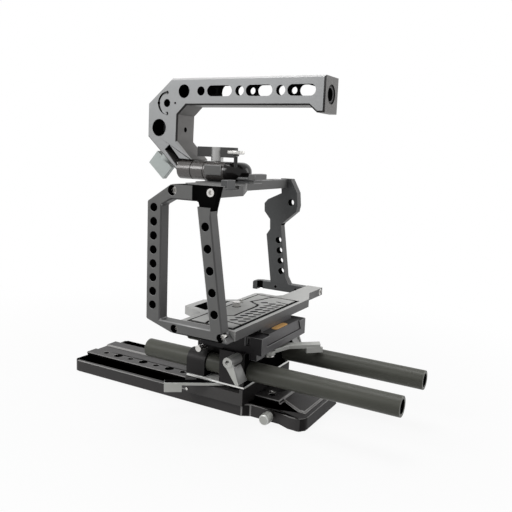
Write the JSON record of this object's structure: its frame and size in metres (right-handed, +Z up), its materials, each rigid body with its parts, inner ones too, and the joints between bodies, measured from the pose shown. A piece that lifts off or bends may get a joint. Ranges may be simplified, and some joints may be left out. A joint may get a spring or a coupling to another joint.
{
  "type": "camera cage rig",
  "caption": "Camera cage with a top handle, sliding on a quick release receiver, a rod bridge and a dovetail base plate, with lock levers and twin rods.",
  "frame": {"origin": "mouth of the tripod socket, at the centre of the base plate's underside", "axes": "+X forward along the rods, +Y to the far side panel, +Z up"},
  "size_m": [0.2985, 0.187, 0.2572],
  "materials": {
    "base_black": "black anodised, satin",
    "block_black": "black anodised, matte",
    "clamp_grey": "dark grey anodised, satin",
    "silver": "bare satin",
    "lever_silver": "satin with soft edges",
    "steel": "turned",
    "rod_olive": "dark olive anodised",
    "cage_grey": "grey anodised, fine bead blast",
    "panel_dark": "dark anodised, fine bead blast",
    "deck_grey": "light grey anodised",
    "pad": "moulded with slanted ribs",
    "handle_grey": "light grey anodised",
    "foot_black": "warm black, semi gloss",
    "gloss_black": "polished black",
    "knob_dark": "dark grey anodised",
    "wing_pale": "pale satin",
    "gold": "satin gold"
  },
  "bodies": {
    "base": {"base_plate": "base_black", "base_screws": "steel", "stop_sleeve": "block_black"},
    "stop": {"stop_knob": "lever_silver"},
    "bridge": {"dovetail_clamp": "clamp_grey", "lever_pivot": "steel", "clamp_pin": "steel", "spacer_plate": "silver", "rod_block": "block_black", "block_screws": "steel", "receiver": "clamp_grey", "receiver_screws": "steel", "qr_pivot": "steel"},
    "clamp_lever": {"dovetail_lever": "lever_silver"},
    "near_lever": {"near_rod_lever": "lever_silver"},
    "far_lever": {"far_rod_lever": "lever_silver"},
    "near_tube": {"near_rod": "rod_olive"},
    "far_tube": {"far_rod": "rod_olive"},
    "release_lever": {"qr_lever": "lever_silver"},
    "push_pin": {"lock_pin": "steel"},
    "cage": {"qr_plate": "block_black", "front_inlay": "gold", "qr_screws": "steel", "bottom_plate": "deck_grey", "camera_pad": "pad", "locating_pin": "steel", "near_panel": "cage_grey", "deck_screws": "steel", "roof_screws": "steel", "far_panel": "panel_dark", "rail_arm_screw": "steel", "far_roof_screw": "steel", "top_plate": "cage_grey", "rail_key": "panel_dark", "top_rail": "panel_dark", "rail_screws": "steel", "rail_stop": "cage_grey"},
    "tripod_screw": {"camera_screw": "steel"},
    "top_handle": {"handle_foot": "foot_black", "foot_pad": "cage_grey", "foot_cap": "gloss_black", "cap_dowels": "steel", "handle": "handle_grey", "handle_screws": "steel", "grip_insert": "panel_dark"},
    "rail_knob": {"wing_knob": "knob_dark"},
    "small_thumb_screw": {"thumb_screw": "steel"},
    "arm_wing": {"handle_wing": "wing_pale"}
  },
  "joints": [
    {"name": "stop_pull", "type": "slide", "parent": "base", "child": "stop", "axis": [0, 1, 0], "range_m": [-0.005, 0], "stiffness_N_per_m": 400, "springref_m": 0.004},
    {"name": "bridge_slide", "type": "slide", "parent": "base", "child": "bridge", "axis": [1, 0, 0], "range_m": [-0.12, 0.018]},
    {"name": "clamp_lever_swing", "type": "hinge", "parent": "bridge", "child": "clamp_lever", "pos_m": [0.046, -0.0296, 0.0216], "axis": [0, 0, 1], "range_deg": [0, 90]},
    {"name": "near_lever_turn", "type": "hinge", "parent": "bridge", "child": "near_lever", "pos_m": [0.0605, -0.041, 0.0486], "axis": [0, 1, 0], "range_deg": [-90, 30]},
    {"name": "far_lever_turn", "type": "hinge", "parent": "bridge", "child": "far_lever", "pos_m": [0.0605, 0.041, 0.0486], "axis": [0, 1, 0], "range_deg": [-90, 30]},
    {"name": "near_tube_slide", "type": "slide", "parent": "bridge", "child": "near_tube", "axis": [1, 0, 0], "range_m": [-0.1, 0.03]},
    {"name": "far_tube_slide", "type": "slide", "parent": "bridge", "child": "far_tube", "axis": [1, 0, 0], "range_m": [-0.1, 0.03]},
    {"name": "release_lever_swing", "type": "hinge", "parent": "bridge", "child": "release_lever", "pos_m": [0.074, -0.017, 0.049], "axis": [0, 0, 1], "range_deg": [-95, 0]},
    {"name": "push_pin_press", "type": "slide", "parent": "bridge", "child": "push_pin", "axis": [0, 1, 0], "range_m": [0, 0.004], "stiffness_N_per_m": 300, "springref_m": -0.003},
    {"name": "cage_slide", "type": "slide", "parent": "bridge", "child": "cage", "axis": [1, 0, 0], "range_m": [-0.025, 0.04]},
    {"name": "tripod_screw_turn", "type": "hinge", "parent": "cage", "child": "tripod_screw", "pos_m": [0.035, -0.003, 0.068], "axis": [0, 0, 1], "continuous": true},
    {"name": "handle_slide", "type": "slide", "parent": "cage", "child": "top_handle", "axis": [1, 0, 0], "range_m": [-0.02, 0.004]},
    {"name": "rail_knob_turn", "type": "hinge", "parent": "top_handle", "child": "rail_knob", "pos_m": [0.0101, 0, 0.196], "axis": [0, 0, 1], "continuous": true},
    {"name": "thumb_screw_turn", "type": "hinge", "parent": "top_handle", "child": "small_thumb_screw", "pos_m": [0.0336, -0.01, 0.196], "axis": [0, 0, 1], "continuous": true},
    {"name": "arm_wing_turn", "type": "hinge", "parent": "top_handle", "child": "arm_wing", "pos_m": [-0.037, 0, 0.1974], "axis": [0.6639, 0, 0.7478], "continuous": true}
  ]
}
